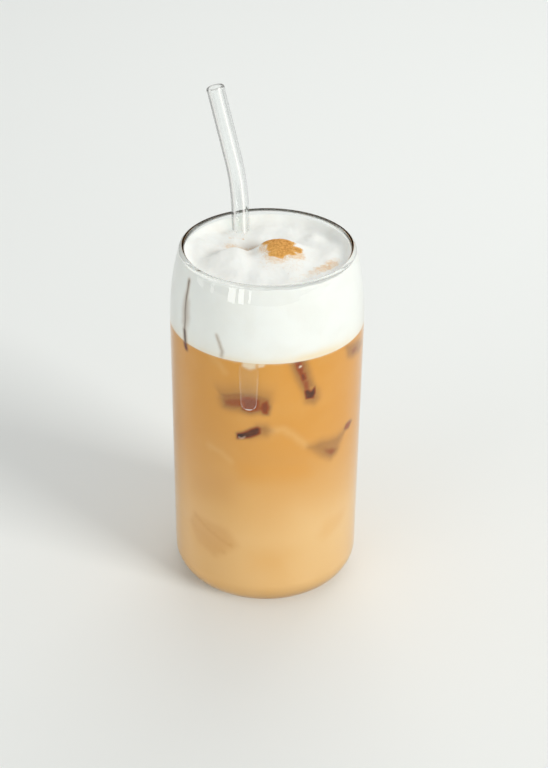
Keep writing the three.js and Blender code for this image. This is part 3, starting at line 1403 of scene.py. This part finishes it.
@dataclass
class Powder:
    """Loose grains of ground spice, scattered where the foam is dusted.

    The gathering is the power of the dust value that the grains follow, and the turn's limit is in radians.
    """

    per_square_mm: float = 42.0
    smallest: float = 0.05
    largest: float = 0.13
    flattening: Place = (1.0, 0.75, 0.6)
    gathering: float = 2.1
    turn_limit: float = 6.3
    seed: int = 11

    def scatter_tree(self) -> bpy.types.NodeTree:
        """Geometry nodes that scatter grains by the surface's dust value.

        Returns:
            The tree.
        """
        inputs = [("Ground", "Geometry"), *((name, "Float") for name in ("Density", "Smallest", "Largest"))]
        inputs += [("Seed", "Int"), ("Finish", "Material")]
        graph, entry, leave = new_group("scatter_grains", "GeometryNodeTree", inputs, ("Grains", "Geometry"))
        given = entry.outputs
        dust = graph.add("GeometryNodeInputNamedAttribute", {"Name": "dust"}, data_type="FLOAT").outputs[0]
        density = graph.times(graph.math("POWER", dust, self.gathering), given["Density"])
        points = graph.add(
            "GeometryNodeDistributePointsOnFaces",
            {"Mesh": given["Ground"], "Density": density, "Seed": given["Seed"]},
            distribute_method="RANDOM",
        )
        sizes = {2: given["Smallest"], 3: given["Largest"], "Seed": given["Seed"]}
        size = graph.add("FunctionNodeRandomValue", sizes, data_type="FLOAT").outputs[1]
        turns = {0: (0, 0, 0), 1: (self.turn_limit,) * 3}
        turn = graph.add("FunctionNodeRandomValue", turns, data_type="FLOAT_VECTOR").outputs[0]
        ball = graph.add("GeometryNodeMeshIcoSphere", {"Radius": 1.0, "Subdivisions": 1}).outputs[0]
        grain = graph.add("GeometryNodeTransform", {"Geometry": ball, "Scale": self.flattening}).outputs[0]
        placing = {"Points": points.outputs["Points"], "Instance": grain, "Rotation": turn, "Scale": size}
        placed = graph.add("GeometryNodeInstanceOnPoints", placing).outputs[0]
        graph.put_out(placed, given["Finish"], leave)
        return graph.tree

    def build(self, foam: Piece, material: Material) -> Piece:
        """Makes the grains.

        Args:
            foam: the foam that they lie on.
            material: their finish.

        Returns:
            All the grains as one piece.
        """
        grains = linked("powder_grains", foam.data.copy())
        values = {
            "Density": self.per_square_mm / MM**2,
            "Smallest": self.smallest * MM,
            "Largest": self.largest * MM,
            "Seed": self.seed,
            "Finish": material,
        }
        return apply_tree(grains, self.scatter_tree(), values)


@dataclass(frozen=True)
class IceCube:
    """A half-melted cube: a rounded block with its own size, place and turn."""

    name: str
    centre: Place
    size: Place
    turn: Place
    rounding: float = 3.5
    cuts: int = 10
    melt: float = 0.03
    melt_length: float = 9.0

    def surface(self) -> tuple[np.ndarray, list[tuple[int, ...]]]:
        """The points and faces of a cut cube with corners at -1 and 1.

        Returns:
            The points and each face's corners.
        """
        steps = np.linspace(-1, 1, self.cuts + 1)
        index: dict[tuple[int, ...], int] = {}
        faces: list[tuple[int, ...]] = []
        cells = [(i, j) for i in range(self.cuts) for j in range(self.cuts)]
        for axis in range(3):
            for side in (0, self.cuts):
                for i, j in cells:
                    loop = []
                    for a, b in ((i, j), (i + 1, j), (i + 1, j + 1), (i, j + 1)):
                        cell = [0, 0, 0]
                        cell[axis], cell[(axis + 1) % 3], cell[(axis + 2) % 3] = side, a, b
                        loop.append(index.setdefault(tuple(cell), len(index)))
                    faces.append(tuple(loop if side else reversed(loop)))
        return steps[np.array(list(index))], faces

    def build(self, material: Material) -> Piece:
        """Makes the cube.

        Args:
            material: the ice's finish.

        Returns:
            The cube.
        """
        corners, faces = self.surface()
        half = np.array(self.size) / 2
        block = corners * half
        core = np.clip(block, -(half - self.rounding), half - self.rounding)
        outward = block - core
        length = np.linalg.norm(outward, axis=1, keepdims=True)
        rounded = core + outward / np.maximum(length, SIZE_OF_NOTHING) * np.minimum(length, self.rounding)
        turn = np.array(Matrix.Rotation(self.turn[2], 3, "Z") @ Matrix.Rotation(self.turn[1], 3, "Y"))
        turn = turn @ np.array(Matrix.Rotation(self.turn[0], 3, "X"))
        dents = noise_field(rounded, self.melt_length, sum(self.centre))
        melted = rounded * (1 + self.melt * dents[:, None])
        return Shape(melted @ turn.T + np.array(self.centre), faces).to_object(self.name, material)


@dataclass
class DripRun:
    """A clear run of water down the tumbler's outside, narrowing to a rounded end.

    Its parts go from 0 at the top to 1 at the end. The first row of faces is next to nothing high, so that the run
    starts with a clean edge, and it swells over the parts given as its start.
    """

    tumbler: Tumbler
    centre: float = -6.7
    top: float = 115.5
    bottom: float = 96.2
    width_top: float = 7.4
    width_low: float = 5.8
    thickness: float = 0.34
    gap: float = 0.02
    rows: int = 64
    columns: int = 28
    first_row: float = 0.995
    row_crowding: float = 1.6
    start: float = 0.3
    least: float = 0.002
    bulge_along: Span = (0.25, 0.75)
    bulge_across: Span = (0.55, 0.45)
    # Painted highlights along the run's edges and at its rounded end.
    edge_line: Span = (0.8, 0.94)
    edge_gleam: Span = (0.1, 0.5)
    end_line: Span = (0.72, 0.92)
    end_gleam: float = 0.7

    def build(self, material: Material) -> Piece:
        """Makes the run.

        Args:
            material: the water's finish.

        Returns:
            The run, with painted highlights where its edges and end gleam, as its frost value.
        """
        part = np.maximum(0, np.arange(self.rows + 1.0)[:, None] - self.first_row) / (self.rows - self.first_row)
        z = self.top + (self.bottom - self.top) * (1 - (1 - part) ** self.row_crowding)
        low_end = np.maximum(0, 1 - (z - self.bottom) / (self.width_low / 2))
        width = self.width_top + (self.width_low - self.width_top) * smooth_step(0, 1, part)
        half = width / 2 * np.sqrt(np.maximum(1 - low_end**2, 1e-4))
        side = np.sin((2 * np.arange(self.columns + 1) / self.columns - 1) * np.pi / 2)
        angle = (self.centre + side * half) / self.tumbler.body_radius
        bulge = self.thickness * (self.bulge_along[0] + self.bulge_along[1] * part**2)
        bulge = bulge * (self.bulge_across[0] + self.bulge_across[1] * np.abs(side) ** 3)
        bulge = bulge * np.sqrt(1 - side**2) * smooth_step(0, self.start, part) * (1 - low_end**6)
        # Painted highlights on the run's edges and end.
        on_edge = smooth_step(*self.edge_line, np.abs(side)) * (self.edge_gleam[0] + self.edge_gleam[1] * low_end)
        gleam = np.maximum(on_edge * np.minimum(1, 4 * part), self.end_gleam * smooth_step(*self.end_line, low_end))
        glass = self.tumbler.outer_radius(z) + self.gap
        skins = [
            np.stack((radius * np.sin(angle), -radius * np.cos(angle), z + 0 * angle), axis=-1).reshape(-1, 3)
            for radius in (glass + bulge + self.least, glass)
        ]
        frost = np.concatenate((gleam.ravel(), np.zeros(gleam.size)))
        return Shape(np.vstack(skins), self.faces(), {"frost": frost}).to_object("drip_run", material)

    def faces(self) -> list[tuple[int, ...]]:
        """The faces of the run's outer and inner skins, and of the border between them.

        Returns:
            Each face's points.
        """
        wide = self.columns + 1
        count = (self.rows + 1) * wide
        faces: list[tuple[int, ...]] = []
        for row in range(self.rows):
            for a in range(row * wide, row * wide + self.columns):
                faces.append((a, a + wide, a + wide + 1, a + 1))
                faces.append((count + a, count + a + 1, count + a + wide + 1, count + a + wide))
        border = [(row * wide, (row + 1) * wide) for row in range(self.rows)]
        border += [(self.rows * wide + c, self.rows * wide + c + 1) for c in range(self.columns)]
        border += [((row + 1) * wide + self.columns, row * wide + self.columns) for row in range(self.rows)]
        border += [(c + 1, c) for c in range(self.columns)]
        return faces + [(b, a, count + a, count + b) for a, b in border]


# The set


@dataclass(frozen=True)
class Pane:
    """A bright window pane that only the glass reflects, on a circle round the drink.

    The sides are degrees from the front, to the right, and the heights are over the floor.
    """

    name: str
    left: float
    right: float
    low: float
    high: float
    glow: float
    distance: float = 1200.0

    def build(self) -> None:
        """Makes the pane, seen by reflected rays alone."""
        sides = np.radians((self.left, self.right, self.right, self.left))
        heights = (self.low, self.low, self.high, self.high)
        corners = np.column_stack((self.distance * np.sin(sides), -self.distance * np.cos(sides), heights))
        card = Shape(corners, [(0, 1, 2, 3)]).to_object(self.name, GlowFinish(self.name, self.glow).build(), False)
        for flag in ("visible_camera", "visible_diffuse", "visible_shadow", "visible_transmission"):
            setattr(card, flag, False)


@dataclass(frozen=True)
class Lamp:
    """A soft rectangular lamp, with its place, the point that it looks at, its width and height, and its watts."""

    name: str
    place: Place
    aim: Place
    size: Span
    power: float
    colour: Rgb

    def build(self) -> None:
        """Hangs the lamp, unseen in the glass."""
        data = bpy.data.lights.new(self.name, "AREA")
        data.shape = "RECTANGLE"
        data.size, data.size_y = self.size[0] * MM, self.size[1] * MM
        data.energy = self.power
        data.color = self.colour
        lamp = linked(self.name, data)
        lamp.visible_glossy = False
        lamp.visible_transmission = False
        at, to = Vector(self.place) * MM, Vector(self.aim) * MM
        lamp.matrix_world = Matrix.Translation(at) @ (to - at).to_track_quat("-Z", "Y").to_matrix().to_4x4()


@dataclass
class Studio:
    """A plain pale floor in an even pale surround, soft window light, and what the glass reflects."""

    floor_size: float = 5000.0
    floor_colour: Rgb = from_srgb(238, 240, 237)
    surround: Rgb = (0.975, 0.99, 1.0)
    surround_strength: float = 0.5
    surround_in_glass: float = 0.05
    panes: tuple[Pane, ...] = (
        Pane("pane_left", -46.0, -37.0, 45, 215, 5.0),
        Pane("pane_middle", -33.5, -27.0, 60, 240, 5.0),
        Pane("pane_narrow", -21.5, -18.5, 90, 245, 4.0),
        Pane("pane_far", -92.0, -81.0, 5, 60, 2.2),
        Pane("pane_slit", -70.0, -65.0, 40, 110, 2.4),
        Pane("pane_soft", 38.0, 71.0, 40, 140, 0.8),
        Pane("pane_side_left", -80.0, -66.0, 120, 420, 2.5),
        Pane("pane_side_right", 62.0, 80.0, 120, 420, 1.2),
    )
    lamps: tuple[Lamp, ...] = (
        Lamp("window_right", (1900, -1290, 1350), (0, 0, 80), (950, 950), 41.0, (1.0, 0.995, 0.98)),
        Lamp("soft_back", (300, 1700, 1500), (0, 900, 0), (1600, 1000), 9.0, (1.0, 0.995, 0.985)),
        Lamp("fill_left", (-1800, -1600, 420), (0, 0, 90), (1400, 700), 13.5, (1.0, 1.0, 1.0)),
        Lamp("pool_back", (170, 460, 700), (170, 460.1, 0), (700, 700), 0.8, (1.0, 1.0, 0.99)),
    )

    def build(self) -> None:
        """Makes the surround, the floor, the panes and the lamps."""
        self.light_surround()
        half = self.floor_size / 2
        corners = np.array([(half, half, 0), (-half, half, 0), (-half, -half, 0), (half, -half, 0)])
        finish = StageFinish("floor", self.floor_colour).build()
        Shape(corners, [(0, 1, 2, 3)]).to_object("floor", finish, smooth=False)
        for thing in (*self.panes, *self.lamps):
            thing.build()

    def light_surround(self) -> None:
        """Makes the world an even glow, dimmer where the glass shows it."""
        world = bpy.data.worlds.new("studio")
        bpy.context.scene.world = world
        world.use_nodes = True
        graph = Graph(world.node_tree)
        background = world.node_tree.nodes["Background"]
        path = graph.add("ShaderNodeLightPath").outputs
        in_glass = graph.math("MAXIMUM", path["Is Glossy Ray"], path["Is Transmission Ray"])
        dimmed = graph.times(in_glass, self.surround_strength - self.surround_in_glass)
        graph.feed(background.inputs[0], self.surround)
        graph.feed(background.inputs[1], graph.math("SUBTRACT", self.surround_strength, dimmed))


@dataclass
class ViewPoint:
    """The camera, where the photograph was taken from."""

    place: tuple[float, float, float] = (0.0, -530.7, 411.8)
    pitch: float = 31.63
    roll: float = -0.5
    lens: float = 72.7
    shift: float = 0.0098

    def build(self) -> None:
        """Makes the camera and looks through it."""
        data = bpy.data.cameras.new("camera")
        data.lens = self.lens
        data.shift_x = self.shift
        data.clip_start = 0.01
        down, tilt = math.radians(self.pitch), math.radians(self.roll)
        right, up = Vector((1, 0, 0)), Vector((0, math.sin(down), math.cos(down)))
        ahead = Vector((0, math.cos(down), -math.sin(down)))
        x = right * math.cos(tilt) - up * math.sin(tilt)
        y = right * math.sin(tilt) + up * math.cos(tilt)
        camera = linked("camera", data)
        turn = Matrix((x, y, -ahead)).transposed().to_4x4()
        camera.matrix_world = Matrix.Translation(Vector(self.place) * MM) @ turn
        bpy.context.scene.camera = camera


# What shows on the wall of the drink, and the cubes behind it

TOUCHES = (
    WallPatch(((8.0, 118.5), (14.2, 118.5), (16.5, 109.1), (18.5, 103.9), (14.0, 103.0), (11.0, 109.2)), 0.52, 1.7),
    WallPatch(((9.7, 117.5), (12.7, 117.5), (13.9, 112.0), (13.4, 109.5), (11.7, 110.6)), 0.75, 1.0),
    WallPatch(((12.0, 111.5), (14.4, 110.9), (15.4, 107.6), (13.2, 107.0)), 0.84, 1.1),
    WallPatch(((13.2, 107.6), (15.6, 107.4), (16.9, 103.4), (14.6, 103.0)), 0.66, 1.0),
    WallPatch(
        ((14.4, 103.1), (15.8, 103.6), (17.1, 102.2), (18.6, 103.7), (19.2, 101.2), (18.4, 98.7), (15.2, 99.3)),
        0.93,
        0.65,
    ),
    WallPatch(((13.8, 104.3), (17.4, 104.3), (20.1, 101.8), (20.7, 98.0), (18.5, 96.0), (15.5, 97.6)), 0.46, 1.9),
    WallPatch(
        ((-18.0, 100.7), (-11.4, 102.8), (-5.3, 103.4), (0.6, 101.5), (1.4, 98.9), (-0.4, 94.0), (-9.8, 95.5),
         (-16.6, 94.9)),
        0.52,
        1.5,
        5.6,
    ),
    WallPatch(((-17.2, 98.5), (-13.0, 100.7), (-7.4, 101.4), (-6.8, 96.0), (-12.2, 95.2), (-16.2, 95.2)), 0.65, 2.6),
    WallPatch(((-10.0, 101.2), (-5.3, 102.0), (-2.0, 100.4), (-2.0, 95.6), (-5.7, 94.2), (-9.5, 95.0)), 0.77, 2.1),
    WallPatch(((-2.0, 99.2), (0.6, 100.3), (1.5, 97.6), (0.6, 93.9), (-1.2, 94.1), (-2.5, 96.4)), 0.8, 1.3),
    WallPatch(
        ((-11.1, 84.2), (-8.3, 85.5), (-5.3, 87.4), (-3.2, 88.4), (-2.0, 87.6), (-2.4, 84.9), (-6.0, 82.9),
         (-10.7, 82.0)),
        0.93,
        1.0,
    ),
    WallPatch(((-11.2, 84.1), (-9.1, 84.9), (-8.1, 83.8), (-9.1, 82.4), (-10.8, 82.4)), 1.0, 0.45),
    WallPatch(((-3.0, 89.2), (-0.1, 88.8), (1.5, 86.5), (0.0, 84.3), (-3.0, 84.2), (-6.0, 83.0)), 0.46, 2.1),
    WallPatch(((22.3, 74.5), (27.8, 72.8), (31.3, 70.8), (29.6, 68.9), (27.1, 68.2), (24.7, 70.4)), 0.62, 2.2),
    WallPatch(
        ((16.8, 76.7), (22.6, 77.6), (29.8, 76.2), (34.4, 77.2), (32.9, 73.2), (30.7, 70.2), (27.4, 67.1),
         (22.9, 70.5)),
        0.44,
        1.8,
        2.6,
    ),
    WallPatch(((35.6, 79.1), (38.9, 79.6), (40.6, 78.4), (38.4, 76.4), (35.5, 76.4), (34.5, 77.6)), 0.66, 0.8),
    WallPatch(((34.0, 77.4), (35.8, 76.4), (31.7, 72.0), (30.7, 71.1)), 0.4, 0.9),
    WallPatch(((33.9, 115.6), (43.5, 113.4), (49.5, 109.5), (45.3, 107.4), (38.5, 108.5), (35.5, 110.0)), 0.44, 1.5),
    WallPatch(((36.7, 112.5), (41.6, 112.2), (43.9, 109.1), (38.4, 108.9)), 0.58, 1.2),
)

STREAKS = (
    WallPatch(
        ((-36.6, 137.0), (-34.4, 133.0), (-33.5, 127.0), (-34.8, 121.5), (-37.7, 123.5), (-37.7, 132.0)), 0.54, 1.4
    ),
    WallPatch(((-36.4, 140.8), (-36.1, 130.0), (-35.8, 122.0), (-35.6, 117.5)), 0.92, 0.85, width=0.62),
    WallPatch(((-35.8, 121.0), (-35.6, 117.0), (-34.9, 113.8)), 1.0, 1.0, width=0.9),
    WallPatch(((-19.3, 125.1), (-17.9, 122.5), (-16.9, 119.0), (-17.2, 117.0)), 0.72, 0.7, width=0.4),
)

SKIN = {
    "ice_touch": TOUCHES + STREAKS,
    "residue": (
        WallPatch(((-8.7, 116.3), (-3.5, 116.8), (-4.2, 114.3), (-6.2, 113.6), (-8.8, 114.6)), 0.72, 0.7),
        WallPatch(((-3.1, 116.5), (-0.3, 116.6), (-1.0, 115.1), (-2.7, 114.8)), 0.6, 0.4),
        # Painted highlights: a small bubble's bright glint, and below, another bubble's pale rim.
        WallPatch(((12.3, 113.8), (12.5, 113.8)), 0.9, 0.2, width=0.35),
        WallPatch(((-10.2, 82.8), (-9.5, 82.2), (-8.6, 82.5), (-8.0, 83.4)), 0.45, 0.25, width=0.14),
        WallPatch(((-60.0, 116.4), (60.0, 116.4)), 0.35, 0.5, width=0.3),
    ),
    "pale": (
        WallPatch(((2.2, 86.5), (6.3, 87.0), (10.9, 83.1), (15.5, 78.0)), 0.26, 1.6, width=0.8),
        WallPatch(((-22.6, 74.8), (-18.2, 73.6), (-13.5, 70.8)), 0.16, 1.5, width=0.8),
        WallPatch(((-21.2, 115.5), (-18.6, 113.7), (-15.8, 110.6)), 0.16, 1.5, width=0.8),
        WallPatch(((13.6, 46.0), (42.3, 38.3), (45.7, 4.7), (14.3, 12.0)), 0.35, 9.0),
    ),
    "amber": (
        WallPatch(((3.0, 113.6), (37.4, 108.0), (39.9, 70.0), (5.3, 78.6)), 0.5, 9.0),
        WallPatch(((-10.6, 69.5), (15.2, 70.0), (16.7, 64.0), (-9.1, 64.0)), 0.5, 4.0),
        WallPatch(((-5.1, 26.2), (6.7, 26.0), (6.0, 21.0), (-3.9, 21.2)), 0.2, 4.5),
        WallPatch(((23.1, 31.8), (25.4, 37.0), (34.2, 37.3), (37.9, 36.1), (34.5, 32.0), (25.7, 29.4)), 0.4, 2.2),
    ),
    "brown": (
        # Painted shade: the drink's left side, away from the window light, is browner.
        WallPatch(((-60.0, 116.0), (-26.0, 116.0), (-26.0, 4.0), (-60.0, 4.0)), 0.12, 12.0),
        WallPatch(((-34.0, 58.0), (-13.1, 62.0), (-14.0, 52.0), (-33.2, 47.0)), 0.3, 5.0),
        WallPatch(
            ((-32.0, 38.7), (-15.8, 36.8), (-11.5, 30.4), (-20.9, 22.2), (-30.2, 25.0), (-34.8, 32.5)), 0.42, 2.2
        ),
        WallPatch(((-33.0, 33.0), (-24.0, 28.0), (-17.0, 25.0)), 0.6, 1.2, width=0.6),
        WallPatch(((-31.0, 37.5), (-22.0, 33.0), (-13.5, 29.5)), 0.75, 1.2, width=0.6),
    ),
}

CUBES = (
    IceCube("ice_right", (14.5, -15.5, 103.0), (22, 21, 23), (0.35, -0.42, 0.62)),
    IceCube("ice_front", (-7.0, -18.5, 107.0), (23, 22, 19), (0.1, 0.08, -0.12)),
    IceCube("ice_low_front", (-7.0, -19.0, 78.0), (20, 22, 20), (0.5, 0.42, -0.25)),
    IceCube("ice_low_right", (20.0, -8.0, 80.0), (24, 22, 22), (0.62, -0.55, 0.95)),
    IceCube("ice_back_right", (16.0, 11.0, 106.0), (24, 22, 20), (0.2, 0.3, 0.4)),
    IceCube("ice_left", (-19.5, -2.0, 96.0), (20, 22, 22), (-0.3, 0.4, 0.3)),
)


def finish_piece(piece: Piece, replaced: str | None = None) -> None:
    """Seats a piece on the body, and hides the solid that it replaces.

    Args:
        piece: the finished piece.
        replaced: the solid that it replaces, if any.
    """
    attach(piece, BODY)
    if replaced is not None:
        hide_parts(replaced)
    LOG.info("%s: %d faces", piece.name, len(piece.data.polygons))


def main() -> None:
    """Builds the drink and its set, in order."""
    logging.basicConfig(level=logging.INFO, format="%(name)s %(message)s")
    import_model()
    bpy.context.scene.view_settings.view_transform = "Standard"
    ViewPoint().build()
    Studio().build()
    clouds = clouding_group()
    tumbler = Tumbler()
    coffee = Coffee(tumbler, SKIN)
    foam = Foam(tumbler, STREAKS)
    straw = Straw(tumbler.floor)
    glass = ClearFinish("tumbler_glass", Clear.GLASS).build()
    # The straw's glass gets near-black painted shade where it is seen edge on.
    straw_glass = ClearFinish("straw_glass", Clear.GLASS, painted_edge_shade=(0.12, 0.12, 0.12), edge_power=3.0).build()
    finish_piece(tumbler.build(glass), "tumbler")
    finish_piece(coffee.build(CoffeeFinish(clouds, coffee.top).build()), "coffee")
    blanket = foam.build(FoamFinish(clouds).build())
    finish_piece(blanket, "milk_foam")
    finish_piece(Powder().build(blanket, GrainFinish().build()))
    finish_piece(straw.build(straw_glass), "straw")
    finish_piece(DripRun(tumbler).build(ClearFinish("water", Clear.WATER).build()))
    ice = ClearFinish("ice", Clear.ICE, roughness=0.05).build()
    for cube in CUBES:
        finish_piece(cube.build(ice))


if __name__ == "__main__":
    main()
